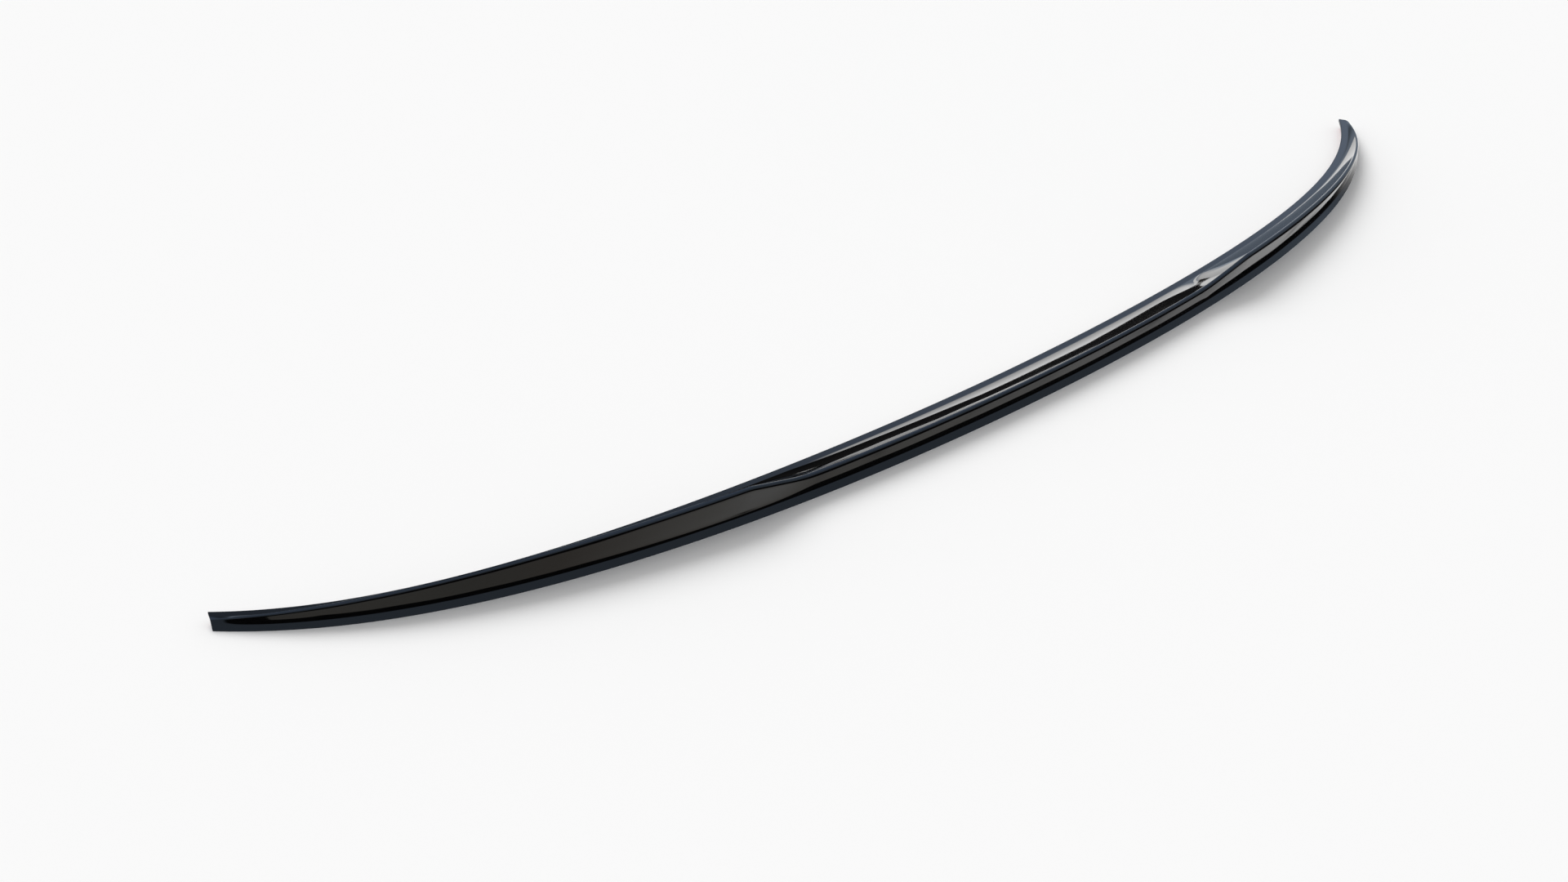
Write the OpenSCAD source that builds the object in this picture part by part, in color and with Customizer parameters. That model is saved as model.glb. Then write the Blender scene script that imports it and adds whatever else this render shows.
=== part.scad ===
// Stick-on boot-lid lip spoiler: one gloss-black moulded sheet, hollow underneath,
// with two runs of double-sided foam tape that still carry their red release liners.
// X runs across the car, Y points forward, Z points up. The trimmed rear edge stands
// on Z = 0. Every piece is a section swept along the lip from tip to tip.

/* [Plan view] */
// Width from tip to tip, along the rear edge
overall_w = 1200; // [1100:5:1300]
// How far the rear edge bows forward as a plain parabola
plan_bow = 84; // [60:1:110]
// Extra forward sweep of the outer thirds
plan_sweep = 51; // [30:1:70]
// Last forward hook of the tips
plan_hook = 29; // [15:1:40]
// How much narrower the front edge is than the rear edge, at each tip
end_slant = 4.4; // [0:0.1:8]

/* [Front edge] */
// Depth of the section at mid width, front edge to rear edge
depth_mid = 38; // [34:0.5:44]
// Depth lost between mid width and the tips
depth_loss = 26; // [20:0.5:28]
// Height of the front flange at mid width
front_h = 10.3; // [8:0.1:13]
// Height that the front flange loses towards the tips
front_fall = 2.1; // [0:0.1:4]
// Width of the flat front flange
flange_w = 6.5; // [5:0.1:8]

/* [Ridge] */
// Height of the outer ridges beside the step
outer_ridge_h = 34; // [28:0.5:38]
// Height that the outer ridges lose by the tips
outer_ridge_fall = 27; // [20:0.5:30]
// How far the outer ridges overhang the rear edge, drawn on to mid width
outer_overhang = 12.4; // [8:0.1:15]
// How much of that overhang is gone at the tips
overhang_loss = 15.7; // [12:0.1:18]
// Height of the low middle ridge
mid_ridge_h = 21; // [17:0.5:24]
// Overhang of the low middle ridge
mid_overhang = 1.7; // [0:0.1:4]
// Distance from mid width to the sharp top corner of each step
step_top_x = 264; // [240:1:290]
// Length of each step, from its top corner to its foot
step_len = 50; // [40:1:70]
// Length over which the foot of the step is rounded
step_foot = 24; // [20:1:60]
// Radius of the ridge's nose
nose_r = 2; // [1:0.1:2.2]

/* [Rear face] */
// Forward reach of the rear flange, from its edge up to the crease
rear_flange_y = 2.7; // [2:0.1:5]
// Height of the rear flange's crease
rear_flange_h = 6.3; // [5.5:0.1:8]
// Softness of the crease: how far its curve starts below the corner, and on the inner side
crease_soft = 1; // [0.5:0.1:3]
// How far the crease's curve runs up the outer face
crease_rise = 5; // [1:0.1:6]

/* [Sheet and tape] */
// Wall thickness of the sheet
wall = 2.5; // [2:0.1:2.8]
// Rounding of the sheet's front edge
edge_r = 0.6; // [0.3:0.1:1]
// Width of the double-sided foam tape
tape_w = 3; // [2.5:0.1:3.6]
// Thickness of the tape's foam core
foam_h = 0.8; // [0.5:0.1:1.2]
// Thickness of the release liner
liner_h = 0.15; // [0.1:0.01:0.3]
// Distance from the sheet's front edge to the front tape
front_inset = 1.7; // [1.2:0.1:2.4]
// Distance from the sheet's rear edge to the rear tape, up the inner side of the flange
rear_inset = 0.8; // [0.7:0.1:1]
// Gap left between the tip and the ends of both tapes
tape_end_gap = 1.5; // [0.5:0.1:4]

/* [Hidden] */
half_w = overall_w / 2;
// Slope of the top face where it leaves the flange: nearly level in the scoop, steep outboard
scoop_slope = 3;
outer_slope = 22;
// Share of the top face's depth, from the flange, over which it keeps to that slope's line
pull_share = 0.3;
// The outer slope blends into the scoop over this stretch, ending at the step's top corner
slope_blend = 90;
// Share of the rear flange's size that is lost by the tips
flange_taper = 0.3;
// Share of the nose radius that is lost by the tips
nose_taper = 0.55;
// How far the top face's underside may be taken back from the ridge, as a share of its length
apex_limit = 0.96;
// Direction from the ridge's tip to the middle of its nose
nose_lean = [0.7, -0.714];
// The section's origin is this far behind the middle of the bounding box
frontmost = plan_bow + plan_sweep + plan_hook + depth_mid - depth_loss;
rearmost = -mid_overhang - nose_r * (1 - nose_lean[0]);
frame_shift = (frontmost + rearmost) / 2;
// Points on each curved stretch of the section
nose_steps = 6;
top_steps = 7;
crease_steps = 4;
// Stations along half of the lip: even ones, and close ones along each step
even_stations = 44;
step_stations = 10;

shell_black = "#15181d";
foam_black = "#2b2b2d";
liner_red = "#e8707f";

function lerp(a, b, s) = a + (b - a) * s;
function smooth(s) = let (c = min(max(s, 0), 1)) c * c * (3 - 2 * c);
function turn(v, a) = [v[0] * cos(a) - v[1] * sin(a), v[0] * sin(a) + v[1] * cos(a)];
function unit(v) = v / norm(v);
// Normal to the left of a direction
function left(v) = [-v[1], v[0]];
// Quadratic curve from a to c, pulled towards b
function bend(a, b, c, s) = (1 - s) ^ 2 * a + 2 * s * (1 - s) * b + s ^ 2 * c;
// Where the lines p + u and q + v cross
function crossing(p, u, q, v) =
    let (w = q - p, k = (w[0] * v[1] - w[1] * v[0]) / (u[0] * v[1] - u[1] * v[0])) p + k * u;

// Rear edge in plan, as t runs from -1 to 1 across the width
function rear_y(t) = plan_bow * t ^ 2 + plan_sweep * t ^ 4 + plan_hook * t ^ 10;
function depth(t) = depth_mid - depth_loss * abs(t) ^ 2.8;
function front_z(t) = front_h - front_fall * t ^ 2;

// 1 on the outer ridges, 0 on the low middle ridge: a straight ramp with a rounded foot
function step(t) =
    let (s = (abs(t) * half_w - step_top_x + step_len) / step_len, foot = step_foot / step_len / 2)
    s > foot ? min(s, 1) : s > -foot ? (s + foot) ^ 2 / (4 * foot) : 0;
function outer_part(t) = smooth((abs(t) * half_w - step_top_x + slope_blend) / slope_blend);

function ridge(t) = [
    lerp(-mid_overhang, overhang_loss * t ^ 2 - outer_overhang, step(t)),
    lerp(mid_ridge_h, outer_ridge_h - outer_ridge_fall * t ^ 4, step(t))
];

// Named points and directions of the outer surface, in the section's own [forward, up] plane
function front_edge(t) = [depth(t), front_z(t)];
function flange_edge(t) = front_edge(t) - [flange_w * min(1, depth(t) / (2 * flange_w)), 0];
function crease(t) = [rear_flange_y, rear_flange_h] * (1 - flange_taper * t ^ 8);
function nose(t) = nose_r * (1 - nose_taper * t ^ 8);
function nose_mid(t) = ridge(t) + nose(t) * nose_lean;
// The top face leaves the flange at its own slope, which is never more than the mean slope
function top_pull(t) =
    let (f = flange_edge(t), r = ridge(t), mean = (r[1] - f[1]) / (f[0] - r[0]))
    let (s = min(tan(lerp(scoop_slope, outer_slope, outer_part(t))), 0.8 * mean))
    f + pull_share * (f[0] - r[0]) * [-1, s];
// Direction of the straight line from p that just touches the nose on one side
function to_nose(t, p, side) =
    let (v = nose_mid(t) - p) turn(unit(v), side * asin(nose(t) / norm(v)));
function touch(t, p, side) =
    let (v = nose_mid(t) - p) p + to_nose(t, p, side) * sqrt(norm(v) ^ 2 - nose(t) ^ 2);
function crease_reach(reach, len) = min(reach, 0.45 * len);

// Outer surface from the rear edge up over the ridge to the front edge
function outside(t) =
    let (c = [0, 0], k = crease(t), pull = top_pull(t), f = flange_edge(t), a = front_edge(t))
    let (up = to_nose(t, k, 1), rear_top = touch(t, k, 1), top_start = touch(t, pull, -1))
    let (k0 = k - unit(k) * crease_reach(crease_soft, norm(k)))
    let (k1 = k + up * crease_reach(crease_rise, norm(rear_top - k)))
    let (n = nose_mid(t), n0 = left(up), n1 = -left(to_nose(t, pull, -1)))
    let (a0 = atan2(n0[1], n0[0]), a1 = atan2(n1[1], n1[0]), sweep = (a0 < a1 ? a0 + 360 : a0) - a1)
    concat(
        [c],
        [for (i = [0 : crease_steps]) bend(k0, k, k1, i / crease_steps)],
        [for (i = [0 : nose_steps]) let (g = a1 + sweep * (1 - i / nose_steps)) n + nose(t) * [cos(g), sin(g)]],
        [for (i = [1 : top_steps]) bend(top_start, pull, f, i / top_steps)],
        [a - [edge_r, 0], a - [0.3 * edge_r, 0.3 * edge_r], a - [0, edge_r]]
    );

// Inner surface, one wall thickness in: back from the front edge, round the hollow, to the rear edge
function inside(t) =
    let (k = crease(t), pull = top_pull(t), f = flange_edge(t), a = front_edge(t))
    let (up = to_nose(t, k, 1), top_start = touch(t, pull, -1))
    let (flare = unit(k), flare_in = -left(flare), up_in = -left(up))
    let (d0 = unit(pull - top_start), d1 = unit(f - pull), down = [0, -1])
    let (q0 = top_start - wall * left(d0))
    let (q1 = crossing(q0, d0, f - wall * left(d1), d1))
    let (q2 = crossing(q1, d1, f + wall * down, [1, 0]))
    let (kk = crossing(wall * flare_in, flare, k + wall * up_in, up))
    let (c0 = [wall / flare[1], 0])
    // share of the top face's underside at which it meets the rear face's inner side
    let (qa = (q0 - 2 * q1 + q2) * up_in, qb = 2 * (q1 - q0) * up_in, qc = (q0 - kk) * up_in)
    let (disc = max(qb ^ 2 - 4 * qa * qc, 0), u = min(max(-2 * qc / (qb + sqrt(disc)), 0), apex_limit))
    let (apex = bend(q0, q1, q2, u), rise = unit(apex - kk))
    let (k1 = kk + rise * crease_reach(crease_soft, norm(apex - kk)))
    let (k0 = kk - flare * crease_reach(crease_soft, norm(kk - c0)))
    concat(
        [[a[0], a[1] - wall + 0.3 * edge_r], [a[0] - 0.3 * edge_r, a[1] - wall]],
        [for (i = [0 : top_steps]) bend(q0, q1, q2, lerp(1, u, i / top_steps))],
        [for (i = [0 : crease_steps]) bend(k1, kk, k0, i / crease_steps)],
        [c0]
    );

// From the section's plane into the part: the front edge is a little narrower than the rear edge
function place(t, p) =
    [t * (half_w - end_slant * p[0] / depth(t)), rear_y(t) + p[0] - frame_shift, p[1]];

// Half-width stations from 0 to 1, with extra ones at the step's corners and round its foot
step_start = step_top_x - step_len - step_foot / 2;
extra = [for (i = [0 : step_stations]) lerp(step_start, step_top_x, i / step_stations) / half_w];
even = [for (i = [0 : even_stations]) i / even_stations];
even_kept = [for (t = even) if (t < extra[0] - 0.006 || t > extra[step_stations] + 0.006) t];
inner_even = [for (t = even_kept) if (t < extra[0]) t];
outer_even = [for (t = even_kept) if (t > extra[0]) t];
half_stations = concat(inner_even, extra, outer_even);
last = len(half_stations) - 1;
stations = concat([for (i = [last : -1 : 1]) -half_stations[i]], half_stations);

// Closed solid through a list of equal rings, whose points run clockwise as seen from +X
module skin(rings) {
    m = len(rings[0]);
    n = len(rings);
    polyhedron(
        points = [for (r = rings) for (p = r) p],
        faces = concat(
            [[for (j = [m - 1 : -1 : 0]) j]],
            [for (i = [0 : n - 2]) for (j = [0 : m - 1])
                let (a = i * m + j, b = i * m + (j + 1) % m) each [[a, b, a + m], [b, b + m, a + m]]],
            [[for (j = [0 : m - 1]) (n - 1) * m + j]]
        )
    );
}

module spoiler_shell() {
    color(shell_black)
        skin([for (t = stations) [for (p = concat(outside(t), inside(t))) place(t, p)]]);
}

// A strip bonded under the sheet: it starts at p, runs along u and stands off along v
function strip_ring(t, p, u, v, low, high) =
    [for (c = [[0, low], [tape_w, low], [tape_w, high], [0, high]]) place(t, p + u * c[0] + v * c[1])];
function front_ring(t, low, high) =
    strip_ring(t, front_edge(t) - [front_inset + tape_w, wall], [1, 0], [0, -1], low, high);
function rear_ring(t, low, high) =
    let (flare = unit(crease(t)), foot = [wall / flare[1], 0])
    strip_ring(t, foot + flare * rear_inset, flare, -left(flare), low, high);

// The tapes share the shell's stations, so that they lie flat against its facets
tape_end = 1 - tape_end_gap / half_w;
tape_stations = [for (t = stations) min(max(t, -tape_end), tape_end)];

module front_tape_foam() {
    color(foam_black) skin([for (t = tape_stations) front_ring(t, 0, foam_h)]);
}

module front_tape_liner() {
    color(liner_red) skin([for (t = tape_stations) front_ring(t, foam_h, foam_h + liner_h)]);
}

module rear_tape_foam() {
    color(foam_black) skin([for (t = tape_stations) rear_ring(t, 0, foam_h)]);
}

module rear_tape_liner() {
    color(liner_red) skin([for (t = tape_stations) rear_ring(t, foam_h, foam_h + liner_h)]);
}

spoiler_shell();
front_tape_foam();
front_tape_liner();
rear_tape_foam();
rear_tape_liner();
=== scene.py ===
import math

import bmesh
import bpy
from mathutils import Matrix, Vector


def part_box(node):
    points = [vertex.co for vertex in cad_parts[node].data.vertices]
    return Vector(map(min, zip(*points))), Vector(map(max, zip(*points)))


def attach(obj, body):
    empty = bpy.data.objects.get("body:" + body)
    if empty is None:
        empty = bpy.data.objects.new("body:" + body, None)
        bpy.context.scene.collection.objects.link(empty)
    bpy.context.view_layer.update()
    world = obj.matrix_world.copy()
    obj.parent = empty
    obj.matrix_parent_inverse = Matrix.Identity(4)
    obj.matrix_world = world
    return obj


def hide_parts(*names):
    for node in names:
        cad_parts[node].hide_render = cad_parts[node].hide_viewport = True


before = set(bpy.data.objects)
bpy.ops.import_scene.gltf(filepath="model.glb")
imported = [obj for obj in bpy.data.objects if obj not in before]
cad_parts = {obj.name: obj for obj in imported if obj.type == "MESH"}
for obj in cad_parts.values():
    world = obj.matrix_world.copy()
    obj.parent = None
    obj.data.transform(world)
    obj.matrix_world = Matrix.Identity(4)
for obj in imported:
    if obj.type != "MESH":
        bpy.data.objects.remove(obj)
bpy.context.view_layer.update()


# ---- Camera -------------------------------------------------------------------------------
# It stands behind and to the left of the lip, well above it, and its axis meets the floor
# left of the middle of the lip. A long lens keeps the two tips at nearly the same scale.
look_at = Vector((-0.165, 0.003, 0.0))
look_distance = 1.862
look_azimuth = math.radians(-40.02)
look_elevation = math.radians(28.47)
look_roll = math.radians(-2.856)

forward = Vector((
    -math.sin(look_azimuth) * math.cos(look_elevation),
    math.cos(look_azimuth) * math.cos(look_elevation),
    -math.sin(look_elevation),
))
level_right = Vector((math.cos(look_azimuth), math.sin(look_azimuth), 0.0))
level_up = level_right.cross(forward)
camera_right = math.cos(look_roll) * level_right + math.sin(look_roll) * level_up
camera_up = camera_right.cross(forward)

camera_data = bpy.data.cameras.new("camera")
camera_data.sensor_width = 36.0
camera_data.lens = 58.25
camera = bpy.data.objects.new("camera", camera_data)
axes = Matrix((camera_right, camera_up, -forward)).transposed().to_4x4()
camera.matrix_world = Matrix.Translation(look_at - look_distance * forward) @ axes
bpy.context.scene.collection.objects.link(camera)
bpy.context.scene.camera = camera
bpy.context.scene.view_settings.view_transform = "Standard"


# ---- Moulded shell ------------------------------------------------------------------------
# One thin sheet of gloss-black plastic, pressed to a hollow section and trimmed along both
# long edges and both tips. It bows forward in plan, and its ridge steps down to a lower,
# scooped middle. The section is drawn in millimetres, in a plane of [forward, up].
shell_low, shell_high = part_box("spoiler_shell")
half_w = 500 * (shell_high[0] - shell_low[0])

plan_bow = 84
plan_sweep = 51
plan_hook = 29
end_slant = 4.4
depth_mid = 38
depth_loss = 26
front_h = 10.3
front_fall = 2.1
flange_w = 6.5
outer_ridge_h = 34
outer_ridge_fall = 27
outer_overhang = 12.4
overhang_loss = 15.7
mid_ridge_h = 21
mid_overhang = 1.7
step_top_x = 264
step_len = 50
step_foot = 24
step_corner = 3
slope_blend = 90
scoop_slope = math.radians(3)
outer_slope = math.radians(22)
pull_share = 0.3
nose_r = 2
nose_lean = (0.7, -0.714)
rear_flange = (2.7, 6.3)
crease_soft = 1
crease_rise = 5
flange_soft = 1.2
wall = 2.5
edge_r = 0.6
trim_break = 0.25
apex_limit = 0.96


def lerp(a, b, s):
    return a + (b - a) * s


def smooth(s):
    s = min(max(s, 0.0), 1.0)
    return s * s * (3 - 2 * s)


def along(a, b, count):
    """Points from a to b, without b."""
    return [a.lerp(b, i / count) for i in range(count)]


def bend(a, b, c, s):
    return (1 - s) ** 2 * a + 2 * s * (1 - s) * b + s ** 2 * c


def rounded_corner(before, corner, after, reach, reach_after, count):
    """A small curve that takes the place of a corner."""
    start = corner + min(reach, 0.45 * (before - corner).length) * (before - corner).normalized()
    end = corner + min(reach_after, 0.45 * (after - corner).length) * (after - corner).normalized()
    return [bend(start, corner, end, i / count) for i in range(count + 1)]


def left(v):
    return Vector((-v.y, v.x))


def turned(v, angle):
    c, s = math.cos(angle), math.sin(angle)
    return Vector((v.x * c - v.y * s, v.x * s + v.y * c))


def crossing(p, u, q, v):
    """Where the lines p + u and q + v cross."""
    w = q - p
    return p + (w.x * v.y - w.y * v.x) / (u.x * v.y - u.y * v.x) * u


def rear_edge_y(t):
    return plan_bow * t ** 2 + plan_sweep * t ** 4 + plan_hook * t ** 10


def depth(t):
    return depth_mid - depth_loss * abs(t) ** 2.8


def step_up(t):
    """0 on the low middle ridge, 1 on the outer ridges, with a long foot and a tight top corner."""
    s = (abs(t) * half_w - step_top_x + step_len) / step_len
    foot = step_foot / step_len / 2
    top = step_corner / step_len
    if s <= -foot:
        return 0.0
    if s < foot:
        return (s + foot) ** 2 / (4 * foot)
    if s < 1 - top:
        return s
    return 1 - (1 + top - s) ** 2 / (4 * top) if s < 1 + top else 1.0


class Section:
    """The named points of the section at t, which runs from -1 to 1 across the width."""

    def __init__(self, t):
        rise = step_up(t)
        self.front_edge = Vector((depth(t), front_h - front_fall * t ** 2))
        self.flange_edge = self.front_edge - Vector((flange_w * min(1, depth(t) / (2 * flange_w)), 0))
        self.crease = Vector(rear_flange) * (1 - 0.3 * t ** 8)
        self.nose = nose_r * (1 - 0.55 * t ** 8)
        ridge = Vector((
            lerp(-mid_overhang, overhang_loss * t ** 2 - outer_overhang, rise),
            lerp(mid_ridge_h, outer_ridge_h - outer_ridge_fall * t ** 4, rise),
        ))
        self.nose_mid = ridge + self.nose * Vector(nose_lean)
        reach = self.flange_edge.x - ridge.x
        mean_slope = (ridge.y - self.flange_edge.y) / reach
        outer = smooth((abs(t) * half_w - step_top_x + slope_blend) / slope_blend)
        slope = min(math.tan(lerp(scoop_slope, outer_slope, outer)), 0.8 * mean_slope)
        self.pull = self.flange_edge + pull_share * reach * Vector((-1, slope))
        self.up = self.tangent(self.crease, 1)
        self.over = self.tangent(self.pull, -1)
        self.rear_top = self.touch(self.crease, 1)
        self.top_start = self.touch(self.pull, -1)

    def tangent(self, p, side):
        """Direction of the line from p that just touches the nose on one side."""
        v = self.nose_mid - p
        return turned(v.normalized(), side * math.asin(self.nose / v.length))

    def touch(self, p, side):
        v = self.nose_mid - p
        return p + math.sqrt(v.length ** 2 - self.nose ** 2) * self.tangent(p, side)

    def outside(self):
        """Outer surface from the rear edge up over the ridge to the front edge."""
        rear_edge = Vector((0, 0))
        break_edge = [Vector((trim_break, 0)), trim_break * self.crease.normalized()]
        crease = rounded_corner(rear_edge, self.crease, self.rear_top, crease_soft, crease_rise, 14)
        up_normal, over_normal = left(self.up), -left(self.over)
        first = math.atan2(up_normal.y, up_normal.x)
        last = math.atan2(over_normal.y, over_normal.x)
        if first < last:
            first += 2 * math.pi
        nose = [
            self.nose_mid + self.nose * Vector((math.cos(a), math.sin(a)))
            for a in (lerp(first, last, i / 12) for i in range(13))
        ]
        top = [bend(self.top_start, self.pull, self.flange_edge, i / 34) for i in range(1, 34)]
        brow = rounded_corner(top[-1], self.flange_edge, self.front_edge, flange_soft, flange_soft, 6)
        corner = self.front_edge
        edge = [
            corner - Vector((edge_r, 0)),
            corner - Vector((0.62 * edge_r, 0.07 * edge_r)),
            corner - Vector((0.29 * edge_r, 0.29 * edge_r)),
            corner - Vector((0.07 * edge_r, 0.62 * edge_r)),
            corner - Vector((0, edge_r)),
        ]
        return (
            break_edge[:1] + along(break_edge[1], crease[0], 6) + crease
            + along(crease[-1], nose[0], 10)[1:] + nose
            + top + brow + along(brow[-1], edge[0], 5)[1:] + edge
        )

    def inside(self):
        """Inner surface, one wall thickness in, from the rear edge round to the front edge."""
        flare = self.crease.normalized()
        flare_in, up_in = -left(flare), -left(self.up)
        top_slope = (self.pull - self.top_start).normalized()
        flange_slope = (self.flange_edge - self.pull).normalized()
        q0 = self.top_start - wall * left(top_slope)
        q1 = crossing(q0, top_slope, self.flange_edge - wall * left(flange_slope), flange_slope)
        q2 = crossing(q1, flange_slope, self.flange_edge - Vector((0, wall)), Vector((1, 0)))
        corner = crossing(wall * flare_in, flare, self.crease + wall * up_in, self.up)
        foot = Vector((wall / flare.y, 0))
        a = (q0 - 2 * q1 + q2).dot(up_in)
        b = 2 * (q1 - q0).dot(up_in)
        c = (q0 - corner).dot(up_in)
        meet = -2 * c / (b + math.sqrt(max(b * b - 4 * a * c, 0)))
        meet = min(max(meet, 0), apex_limit)
        apex = bend(q0, q1, q2, meet)
        break_edge = [foot - Vector((trim_break, 0)), foot + trim_break * flare]
        crease = rounded_corner(foot, corner, apex, crease_soft, crease_soft, 8)
        under = self.front_edge - Vector((0, wall))
        edge = [
            under + Vector((-0.3 * edge_r, 0)),
            under + Vector((-0.1 * edge_r, 0.1 * edge_r)),
            under + Vector((0, 0.3 * edge_r)),
        ]
        top = [bend(q0, q1, q2, lerp(meet, 1, i / 46)) for i in range(46)]
        return (
            break_edge[:1] + along(break_edge[1], crease[0], 6) + crease
            + along(crease[-1], apex, 22)[1:] + top + along(q2, edge[0], 8) + edge
        )


forward_shift = 1000 * shell_low[1] + mid_overhang + nose_r * (1 - nose_lean[0])


def in_part(t, p):
    """From the section's plane into the part, in metres: the front edge is a little narrower."""
    return Vector((
        t * (half_w - end_slant * p.x / depth(t)),
        rear_edge_y(t) + p.x + forward_shift,
        p.y,
    )) / 1000


def stations(count):
    """Stations from tip to tip, closer together along both steps."""
    step_start = step_top_x - step_len - step_foot / 2
    step_end = step_top_x + 4 * step_corner
    even = [half_w * i / count for i in range(count + 1)]
    half = [x for x in even if not step_start < x < step_end]
    half += [lerp(step_start, step_end, i / 44) for i in range(45)]
    half = sorted({round(x / half_w, 6) for x in half})
    return [-t for t in reversed(half[1:])] + half


def new_piece(name, mesh):
    piece = bpy.data.objects.new(name, mesh)
    bpy.context.scene.collection.objects.link(piece)
    return piece


outer_count = len(Section(0).outside())
inner_count = len(Section(0).inside())

shell_bm = bmesh.new()
rings = []
for t in stations(150):
    section = Section(t)
    ring = section.outside() + section.inside()[::-1]
    rings.append([shell_bm.verts.new(in_part(t, p)) for p in ring])
ring_count = len(rings[0])
for here, there in zip(rings, rings[1:]):
    for i in range(ring_count):
        j = (i + 1) % ring_count
        face = shell_bm.faces.new((here[i], here[j], there[j], there[i]))
        face.smooth = True
        if i == outer_count - 1 or i == ring_count - 1:
            face.material_index = 2
        elif i >= outer_count:
            face.material_index = 1
for ring, flip in ((rings[0], False), (rings[-1], True)):
    for i in range(outer_count - 1):
        a, b = ring[i], ring[i + 1]
        k = round(i * (inner_count - 1) / (outer_count - 1))
        m = round((i + 1) * (inner_count - 1) / (outer_count - 1))
        c, d = ring[ring_count - 1 - m], ring[ring_count - 1 - k]
        corners = [a, b, c] if c is d else [a, b, c, d]
        face = shell_bm.faces.new(corners[::-1] if flip else corners)
        face.material_index = 2
bmesh.ops.recalc_face_normals(shell_bm, faces=shell_bm.faces)
shell_mesh = bpy.data.meshes.new("moulded_shell")
shell_bm.to_mesh(shell_mesh)
shell_bm.free()
shell_mesh.set_sharp_from_angle(angle=math.radians(38))
shell = new_piece("moulded_shell", shell_mesh)


def node_material(name):
    material = bpy.data.materials.new(name)
    material.use_nodes = True
    tree = material.node_tree
    return material, tree, tree.nodes["Principled BSDF"]


def node(tree, kind, **settings):
    made = tree.nodes.new(kind)
    for name, value in settings.items():
        setattr(made, name, value)
    return made


def put(tree, socket, value):
    """Sets a socket to a number, a colour or another node's output."""
    if isinstance(value, bpy.types.NodeSocket):
        tree.links.new(value, socket)
    elif isinstance(value, tuple) and len(value) == 3 and socket.type == "RGBA":
        socket.default_value = (*value, 1)
    else:
        socket.default_value = value


def figure(tree, operation, *values, clamp=False):
    made = node(tree, "ShaderNodeMath", operation=operation, use_clamp=clamp)
    for socket, value in zip(made.inputs, values):
        put(tree, socket, value)
    return made.outputs[0]


def fade(tree, value, low, high):
    """0 at low and below, 1 at high and above, smooth between; low may be the larger one."""
    made = node(tree, "ShaderNodeMapRange", interpolation_type="SMOOTHSTEP")
    put(tree, made.inputs["Value"], value)
    put(tree, made.inputs["From Min"], min(low, high))
    put(tree, made.inputs["From Max"], max(low, high))
    rising = made.outputs["Result"]
    return rising if low < high else figure(tree, "SUBTRACT", 1.0, rising)


def blended(tree, mask, a, b):
    made = node(tree, "ShaderNodeMix", data_type="RGBA")
    put(tree, made.inputs["Factor"], mask)
    put(tree, made.inputs[6], a)
    put(tree, made.inputs[7], b)
    return made.outputs[2]


def stretched(tree, x, y, z):
    """Place on the part in metres, scaled along each axis."""
    made = node(tree, "ShaderNodeMapping")
    put(tree, made.inputs["Vector"], node(tree, "ShaderNodeTexCoord").outputs["Object"])
    put(tree, made.inputs["Scale"], (x, y, z))
    return made.outputs["Vector"]


def noise(tree, place, scale, detail=2.0, roughness=0.5):
    made = node(tree, "ShaderNodeTexNoise")
    put(tree, made.inputs["Vector"], place)
    put(tree, made.inputs["Scale"], scale)
    put(tree, made.inputs["Detail"], detail)
    put(tree, made.inputs["Roughness"], roughness)
    return made.outputs["Fac"]


def finish_group(name, inputs, outputs):
    """An empty node group with named number inputs, given with their usual values."""
    tree = bpy.data.node_groups.new(name, "ShaderNodeTree")
    for label, value in inputs.items():
        socket = tree.interface.new_socket(label, in_out="INPUT", socket_type="NodeSocketFloat")
        socket.default_value = value
    for label in outputs:
        tree.interface.new_socket(label, in_out="OUTPUT", socket_type="NodeSocketFloat")
    return tree, node(tree, "NodeGroupInput").outputs, node(tree, "NodeGroupOutput").inputs


def use_group(tree, group, **values):
    made = node(tree, "ShaderNodeGroup", node_tree=group)
    for label, value in values.items():
        put(tree, made.inputs[label], value)
    return made.outputs


# Slow ripples from the mould and a fine orange peel on top of them
moulded_surface, given, shown = finish_group(
    "moulded_surface", {"Ripple": 1.0, "Peel": 1.0}, ["Height"])
tree = moulded_surface
ripple = noise(tree, stretched(tree, 1, 2.5, 2.5), 16, 1.0)
peel = noise(tree, stretched(tree, 1, 1, 1), 620, 2.0)
put(tree, shown["Height"], figure(
    tree, "ADD", figure(tree, "MULTIPLY", ripple, given["Ripple"]),
    figure(tree, "MULTIPLY", peel, given["Peel"])))

# Handling marks: a thin haze in patches, hairline rubs along the length, and settled dust
handling_marks, given, shown = finish_group(
    "handling_marks", {"Haze": 1.0, "Dust": 1.0}, ["Haze", "Dust"])
tree = handling_marks
patches = fade(tree, noise(tree, stretched(tree, 1, 1, 1), 9, 4.0, 0.6), 0.42, 0.7)
rubs = fade(tree, noise(tree, stretched(tree, 14, 900, 900), 1.0, 3.0, 0.6), 0.6, 0.8)
put(tree, shown["Haze"], figure(
    tree, "MULTIPLY", figure(tree, "ADD", patches, figure(tree, "MULTIPLY", rubs, 0.6)), given["Haze"]))
specks = fade(tree, noise(tree, stretched(tree, 1, 1, 1), 2600, 1.0), 0.74, 0.8)
lint = fade(tree, noise(tree, stretched(tree, 1, 1, 1), 45, 2.0), 0.5, 0.7)
facing = node(tree, "ShaderNodeSeparateXYZ")
put(tree, facing.inputs[0], node(tree, "ShaderNodeNewGeometry").outputs["Normal"])
settled = fade(tree, facing.outputs["Z"], 0.2, 0.9)
dust = figure(tree, "MULTIPLY", figure(tree, "MULTIPLY", specks, lint), settled)
put(tree, shown["Dust"], figure(tree, "MULTIPLY", dust, given["Dust"]))

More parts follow.
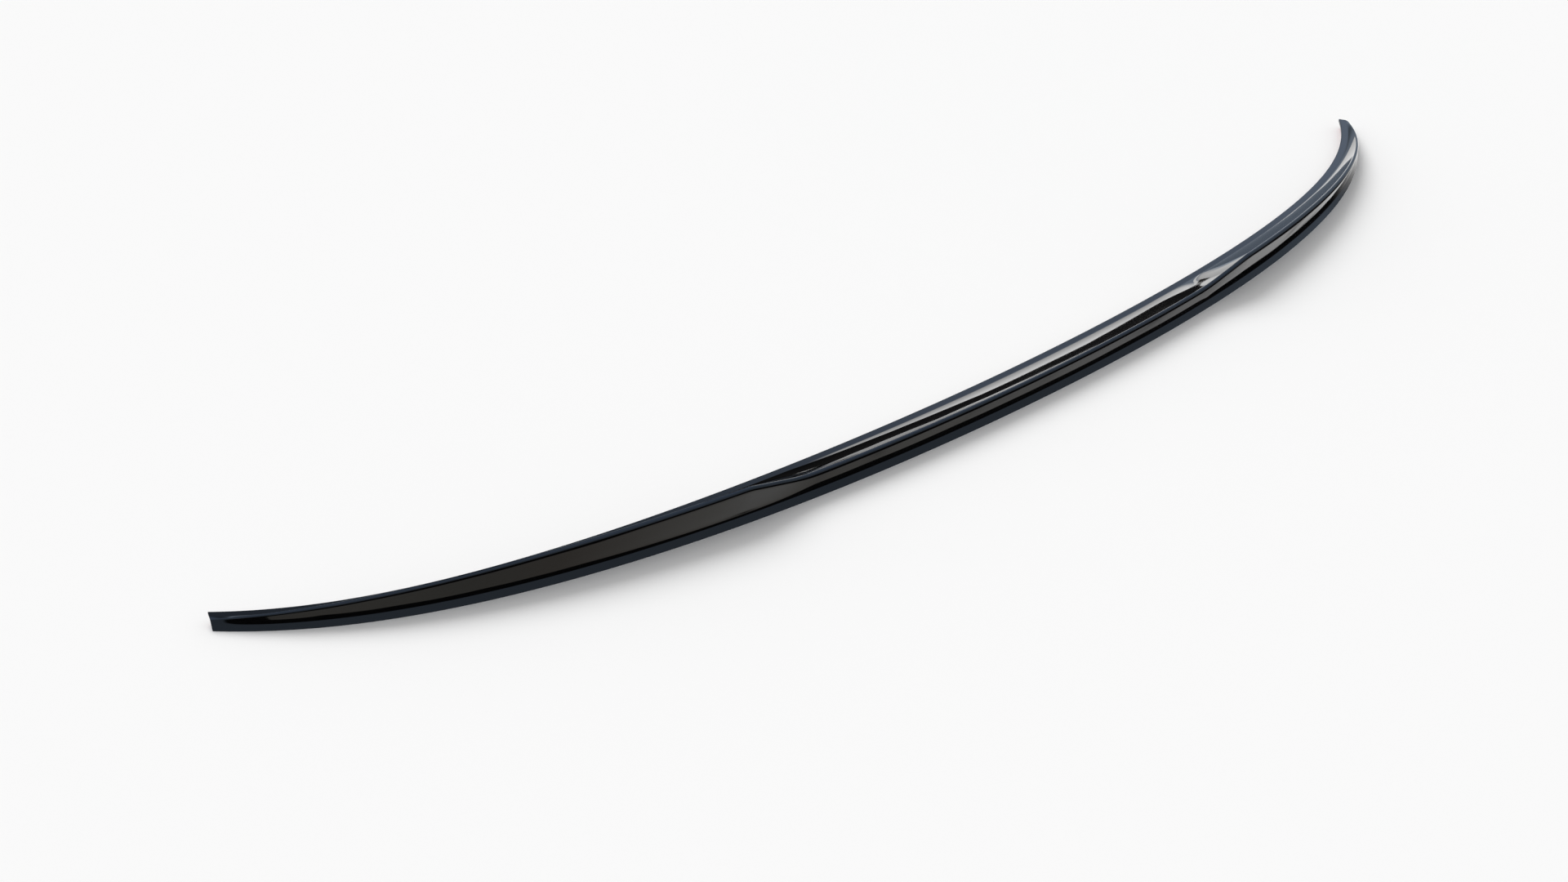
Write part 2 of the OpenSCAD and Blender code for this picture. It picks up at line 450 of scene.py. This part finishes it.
# Outer face: deep gloss black
gloss, tree, skin = node_material("gloss_black_face")
marks = use_group(tree, handling_marks, Haze=1.0, Dust=0.35)
clouds = noise(tree, stretched(tree, 1, 1, 1), 30)
tint = blended(tree, clouds, (0.0009, 0.0009, 0.0011), (0.0016, 0.0016, 0.0019))
put(tree, skin.inputs["Base Color"], blended(tree, marks["Dust"], tint, (0.12, 0.12, 0.115)))
put(tree, skin.inputs["Roughness"], figure(
    tree, "ADD", figure(tree, "ADD", 0.028, figure(tree, "MULTIPLY", marks["Haze"], 0.035)),
    figure(tree, "MULTIPLY", marks["Dust"], 0.5)))
bump = node(tree, "ShaderNodeBump")
put(tree, bump.inputs["Distance"], 0.00004)
put(tree, bump.inputs["Height"], use_group(tree, moulded_surface, Ripple=4.0, Peel=0.018)["Height"])
put(tree, skin.inputs["Normal"], bump.outputs["Normal"])

# Inner side: the sheet's back has a soft satin grain from the press
inner, tree, skin = node_material("satin_inner_face")
marks = use_group(tree, handling_marks, Haze=1.0, Dust=0.5)
flow = noise(tree, stretched(tree, 3, 30, 30), 1.0, 4.0, 0.6)
tint = blended(tree, flow, (0.006, 0.007, 0.009), (0.012, 0.013, 0.016))
put(tree, skin.inputs["Base Color"], blended(tree, marks["Dust"], tint, (0.1, 0.1, 0.1)))
put(tree, skin.inputs["Roughness"], figure(
    tree, "ADD", 0.27, figure(tree, "MULTIPLY", marks["Haze"], 0.12)))
grain = noise(tree, stretched(tree, 1, 1, 1), 1500, 3.0, 0.6)
bump = node(tree, "ShaderNodeBump")
put(tree, bump.inputs["Distance"], 0.00003)
put(tree, bump.inputs["Height"], figure(
    tree, "ADD", grain, use_group(tree, moulded_surface, Ripple=4.0, Peel=0.4)["Height"]))
put(tree, skin.inputs["Normal"], bump.outputs["Normal"])

# Trimmed edges: milled after pressing, so they are dull, with close cutter marks
trimmed, tree, skin = node_material("trimmed_edge")
cutter = noise(tree, stretched(tree, 2600, 300, 300), 1.0, 2.0)
fuzz = noise(tree, stretched(tree, 1, 1, 1), 2200, 3.0, 0.7)
put(tree, skin.inputs["Base Color"], blended(tree, cutter, (0.012, 0.012, 0.013), (0.05, 0.05, 0.052)))
put(tree, skin.inputs["Roughness"], figure(tree, "ADD", 0.4, figure(tree, "MULTIPLY", fuzz, 0.25)))
bump = node(tree, "ShaderNodeBump")
put(tree, bump.inputs["Distance"], 0.00006)
put(tree, bump.inputs["Height"], figure(tree, "ADD", cutter, figure(tree, "MULTIPLY", fuzz, 0.5)))
put(tree, skin.inputs["Normal"], bump.outputs["Normal"])

for material in (gloss, inner, trimmed):
    shell_mesh.materials.append(material)
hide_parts("spoiler_shell")
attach(shell, "root")


# ---- Foam tape ----------------------------------------------------------------------------
# Two runs of double-sided acrylic foam tape, cut 3 mm wide and rolled on by hand: one under
# the front flange, one on the inner side of the rear flange. The foam's cut sides draw in.
tape_w = 3
foam_h = 0.8
front_inset = 1.7
rear_inset = 0.8
tape_end = 1 - 1.5 / half_w
tape_stations = [t for t in stations(150) if abs(t) < tape_end - 0.0005]
tape_stations = [-tape_end] + tape_stations + [tape_end]


def front_tape_line(t):
    """Where the front tape starts, which way it runs across, and which way it stands off."""
    start = Section(t).front_edge - Vector((front_inset + tape_w, wall))
    return start, Vector((1, 0)), Vector((0, -1))


def rear_tape_line(t):
    flare = Section(t).crease.normalized()
    foot = Vector((wall / flare.y, 0))
    return foot + rear_inset * flare, flare, -left(flare)


def swept_strip(name, line, outline):
    """A strip along the lip; outline(t) gives its section as [across, off the sheet] pairs."""
    bm = bmesh.new()
    rings = []
    for t in tape_stations:
        start, across, off = line(t)
        rings.append([bm.verts.new(in_part(t, start + a * across + h * off)) for a, h in outline(t)])
    for here, there in zip(rings, rings[1:]):
        for i in range(len(here)):
            j = (i + 1) % len(here)
            bm.faces.new((here[i], here[j], there[j], there[i])).smooth = True
    for ring in (rings[0], rings[-1]):
        half = len(ring) // 2
        for i in range(half - 1):
            corners = [ring[i], ring[i + 1], ring[-2 - i], ring[-1 - i]]
            bm.faces.new(corners)
    bmesh.ops.recalc_face_normals(bm, faces=bm.faces)
    mesh = bpy.data.meshes.new(name)
    bm.to_mesh(mesh)
    bm.free()
    mesh.set_sharp_from_angle(angle=math.radians(35))
    return new_piece(name, mesh)


def foam_outline(t):
    """Flat where it sticks, with sides that draw in a little between."""
    draw_in = 0.12
    right = [(tape_w - draw_in * math.sin(math.pi * i / 6), foam_h * i / 6) for i in range(7)]
    left_side = [(tape_w - a, h) for a, h in reversed(right)]
    return right + left_side


foam, tree, skin = node_material("black_tape_foam")
cells = node(tree, "ShaderNodeTexVoronoi")
put(tree, cells.inputs["Vector"], stretched(tree, 1, 1, 1))
put(tree, cells.inputs["Scale"], 5200)
mottle = noise(tree, stretched(tree, 1, 1, 1), 220, 3.0)
put(tree, skin.inputs["Base Color"], blended(tree, mottle, (0.014, 0.014, 0.015), (0.032, 0.031, 0.031)))
put(tree, skin.inputs["Roughness"], figure(tree, "ADD", 0.75, figure(tree, "MULTIPLY", mottle, 0.2)))
bump = node(tree, "ShaderNodeBump")
put(tree, bump.inputs["Distance"], 0.00012)
put(tree, bump.inputs["Height"], cells.outputs["Distance"])
put(tree, skin.inputs["Normal"], bump.outputs["Normal"])

for name, line in (("front_tape_foam", front_tape_line), ("rear_tape_foam", rear_tape_line)):
    run = swept_strip(name + "_run", line, foam_outline)
    run.data.materials.append(foam)
    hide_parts(name)
    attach(run, "root")


# ---- Release liner ------------------------------------------------------------------------
# A thin red plastic film that covers the sticky face of each tape until the lip is fitted.
# It lies flat on the foam but is never quite taut, so its surface is slightly wavy.
liner_h = 0.15


def liner_outline(t):
    low, high = foam_h, foam_h + liner_h
    wave = 0.02 * math.sin(2 * math.pi * t * half_w / 23) * math.sin(2 * math.pi * t * half_w / 61)
    crown = [(tape_w * i / 8, high - 0.03 + wave * math.sin(math.pi * i / 8)) for i in range(9)]
    return [(tape_w * i / 8, low) for i in range(9)] + crown[::-1]


film, tree, skin = node_material("red_release_film")
wet = fade(tree, noise(tree, stretched(tree, 1, 1, 1), 130, 4.0, 0.6), 0.4, 0.62)
along_run = noise(tree, stretched(tree, 6, 60, 60), 1.0, 3.0)
tint = blended(tree, wet, (0.83, 0.25, 0.31), (0.74, 0.18, 0.24))
put(tree, skin.inputs["Base Color"], blended(tree, along_run, tint, (0.86, 0.30, 0.36)))
put(tree, skin.inputs["Roughness"], figure(tree, "ADD", 0.3, figure(tree, "MULTIPLY", along_run, 0.2)))
skin.inputs["Subsurface Weight"].default_value = 0.15
skin.inputs["Subsurface Radius"].default_value = (1.0, 0.3, 0.3)
skin.inputs["Subsurface Scale"].default_value = 0.0005
creases = noise(tree, stretched(tree, 120, 500, 500), 1.0, 2.0)
bump = node(tree, "ShaderNodeBump")
put(tree, bump.inputs["Distance"], 0.0001)
put(tree, bump.inputs["Height"], creases)
put(tree, skin.inputs["Normal"], bump.outputs["Normal"])

for name, line in (("front_tape_liner", front_tape_line), ("rear_tape_liner", rear_tape_line)):
    run = swept_strip(name + "_run", line, liner_outline)
    run.data.materials.append(film)
    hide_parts(name)
    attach(run, "root")


# ---- Floor --------------------------------------------------------------------------------
# A plain pale sheet under the part. Gloss doesn't see it: the studio's own light map, below,
# stands in for it there.
floor_mesh = bpy.data.meshes.new("floor")
floor_mesh.from_pydata([(-4, -4, 0), (4, -4, 0), (4, 4, 0), (-4, 4, 0)], [], [(0, 1, 2, 3)])
floor = new_piece("floor", floor_mesh)
pale, tree, skin = node_material("pale_floor")
fibre = noise(tree, stretched(tree, 1, 1, 1), 900, 3.0)
put(tree, skin.inputs["Base Color"], blended(tree, fibre, (0.955, 0.955, 0.955), (0.975, 0.975, 0.975)))
skin.inputs["Roughness"].default_value = 1.0
skin.inputs["Specular IOR Level"].default_value = 0.0
floor_mesh.materials.append(pale)
floor.visible_glossy = False


# ---- Gloss cards --------------------------------------------------------------------------
# Three cards that only gloss sees: a white panel ahead of the lip, a black flag just in front
# of it that draws the dark band in the scoop, and a white card on the floor past the right tip.
def gloss_card(name, corners, tone, edges):
    """A card with an even glow; each soft edge has an axis, a clear place and a solid place."""
    mesh = bpy.data.meshes.new(name)
    mesh.from_pydata(corners, [], [tuple(range(len(corners)))])
    card = new_piece(name, mesh)
    material = bpy.data.materials.new(name)
    material.use_nodes = True
    tree = material.node_tree
    tree.nodes.clear()
    glow = node(tree, "ShaderNodeEmission")
    put(tree, glow.inputs["Strength"], tone)
    axes = node(tree, "ShaderNodeSeparateXYZ")
    put(tree, axes.inputs[0], node(tree, "ShaderNodeTexCoord").outputs["Object"])
    solid = 1.0
    for axis, clear, full in edges:
        solid = figure(tree, "MULTIPLY", solid, fade(tree, axes.outputs[axis], clear, full))
    mix = node(tree, "ShaderNodeMixShader")
    put(tree, mix.inputs[0], solid)
    tree.links.new(node(tree, "ShaderNodeBsdfTransparent").outputs[0], mix.inputs[1])
    tree.links.new(glow.outputs[0], mix.inputs[2])
    tree.links.new(mix.outputs[0], node(tree, "ShaderNodeOutputMaterial").inputs["Surface"])
    mesh.materials.append(material)
    card.visible_camera = False
    card.visible_diffuse = False
    card.visible_shadow = False


# The flag is widest at both ends, and its right end is cut on a slant
flag_top = [
    (-0.120, 0.098), (0.004, 0.092), (0.092, 0.046), (0.185, 0.004), (0.318, 0.004), (0.395, 0.028),
    (0.416, 0.035), (0.441, 0.010), (0.455, -0.005), (0.464, -0.030),
]
flag_bottom = [
    (0.468, -0.075), (0.400, -0.075), (0.330, -0.056), (0.187, -0.054), (0.094, -0.059),
    (0.005, -0.044), (-0.120, -0.040),
]
flag_y = 0.2
panel_y = 0.201
floor_card_z = 0.0002
gloss_card("black_flag", [(x, flag_y, z) for x, z in flag_top + flag_bottom], 0.015, [])
gloss_card(
    "white_panel",
    [(x, panel_y, z) for x, z in ((0, -0.02), (0.46, -0.02), (0.46, 0.16), (0, 0.16))],
    1.95, [("X", 0.0, 0.04), ("X", 0.452, 0.438), ("Z", 0.15, 0.115)])
gloss_card(
    "white_floor_card",
    [(x, y, floor_card_z) for x, y in ((0.44, -0.04), (1.1, -0.04), (1.1, 0.7), (0.44, 0.7))],
    1.5, [("X", 0.45, 0.5), ("Y", -0.03, 0.05)])


# ---- Soft key light -----------------------------------------------------------------------
# A very large soft light high in front, so that the shadow falls softly behind the lip.
key_data = bpy.data.lights.new("key", "SUN")
key_data.energy = 1.5
key_data.angle = math.radians(45)
key = bpy.data.objects.new("key", key_data)
key_from = Vector((0.25, 1.0, 1.25))
key.rotation_euler = key_from.to_track_quat("Z", "Y").to_euler()
key.visible_glossy = False
bpy.context.scene.collection.objects.link(key)


# ---- Studio dome --------------------------------------------------------------------------
# An even white dome lights the floor and everything matt. Gloss sees a studio map instead:
# a cool ceiling, a sky down to the horizon, a dark gap under it and a lit floor below.
world = bpy.data.worlds.new("studio")
bpy.context.scene.world = world
world.use_nodes = True
tree = world.node_tree
tree.nodes.clear()


def sweep(tree, value, low, high, stops):
    """Colours or greys given at places between low and high."""
    made = node(tree, "ShaderNodeValToRGB")
    put(tree, made.inputs[0], figure(tree, "DIVIDE", figure(tree, "SUBTRACT", value, low), high - low))
    elements = made.color_ramp.elements
    while len(elements) < len(stops):
        elements.new(0.5)
    for element, (place, tone) in zip(elements, stops):
        element.position = (place - low) / (high - low)
        element.color = (*tone, 1) if isinstance(tone, tuple) else (tone, tone, tone, 1)
    return made.outputs[0]


def both(tree, *masks):
    result = masks[0]
    for mask in masks[1:]:
        result = figure(tree, "MULTIPLY", result, mask)
    return result


direction = node(tree, "ShaderNodeSeparateXYZ")
put(tree, direction.inputs[0], node(tree, "ShaderNodeTexCoord").outputs["Generated"])
east, north, up = direction.outputs
height = figure(tree, "DEGREES", figure(tree, "ARCSINE", up))
bearing = figure(tree, "DEGREES", figure(tree, "ARCTAN2", east, north))

# Behind and at the sides: a cool sky down to the horizon, over a dark gap and a lit floor.
# The place where the floor starts, in hundreds of degrees below the horizon, goes by bearing.
cool = (0.33, 0.41, 0.52)
high_cool = (0.55, 0.75, 1.1)
behind = sweep(tree, height, -90, 90, [
    (-10, 0.012), (-4, cool), (25, (0.38, 0.48, 0.62)), (55, high_cool), (90, high_cool)])
behind_floor = sweep(tree, bearing, -180, 180, [
    (-180, (0.34, 0.33, 0.30)), (-132, (0.48, 0.46, 0.42)), (0, 0.6), (66, 0.85), (74, 0.61), (97, 0.52),
    (110, (0.43, 0.42, 0.40)), (148, (0.32, 0.29, 0.26)), (180, (0.34, 0.33, 0.30))])
floor_from = figure(tree, "MULTIPLY", sweep(tree, bearing, -180, 180, [
    (-180, 0.672), (-158, 0.642), (-132, 0.554), (-121, 0.435), (-100, 0.3), (60, 0.245), (68, 0.286),
    (74, 0.342), (82, 0.388), (90, 0.403), (99, 0.459), (111.5, 0.539), (117.5, 0.572), (145, 0.682),
    (180, 0.674)]), -100.0)
on_floor = fade(tree, figure(tree, "SUBTRACT", height, floor_from), 0.3, -0.3)
behind = blended(tree, on_floor, behind, behind_floor)

# In front: blue-grey above, duller to the left, and a pale stretch of floor straight ahead
front_sky = sweep(tree, height, -90, 90, [
    (-30, 0.9), (-14, (0.30, 0.36, 0.43)), (-4, (0.36, 0.42, 0.52)), (12, (0.46, 0.56, 0.70)),
    (22, (0.48, 0.59, 0.78)), (32, (0.48, 0.61, 0.83)), (55, high_cool), (90, high_cool)])
duller = sweep(tree, bearing, -180, 180, [
    (20, 0.3), (28, 0.34), (34, 0.52), (38, 0.55), (41, 0.74), (44, 0.97), (51, 1.0), (54, 1.25),
    (60, 1.25)])
duller = blended(tree, fade(tree, height, 2, 12), (1.0, 1.0, 1.0), duller)
dulled = node(tree, "ShaderNodeVectorMath", operation="MULTIPLY")
put(tree, dulled.inputs[0], front_sky)
put(tree, dulled.inputs[1], duller)
front_sky = dulled.outputs[0]
pale_ahead = both(
    tree, fade(tree, bearing, 35, 36), fade(tree, bearing, 44.5, 42.5), fade(tree, height, -1, -4))
front_sky = blended(tree, pale_ahead, front_sky, (1.0, 1.0, 1.0))
in_front = both(tree, fade(tree, bearing, 0, 20), fade(tree, bearing, 64, 58))
seen_in_gloss = blended(tree, in_front, behind, front_sky)

light = node(tree, "ShaderNodeLightPath")
background = node(tree, "ShaderNodeBackground")
put(tree, background.inputs["Color"], blended(
    tree, light.outputs["Is Glossy Ray"], (0.62, 0.62, 0.62), seen_in_gloss))
tree.links.new(background.outputs[0], node(tree, "ShaderNodeOutputWorld").inputs["Surface"])
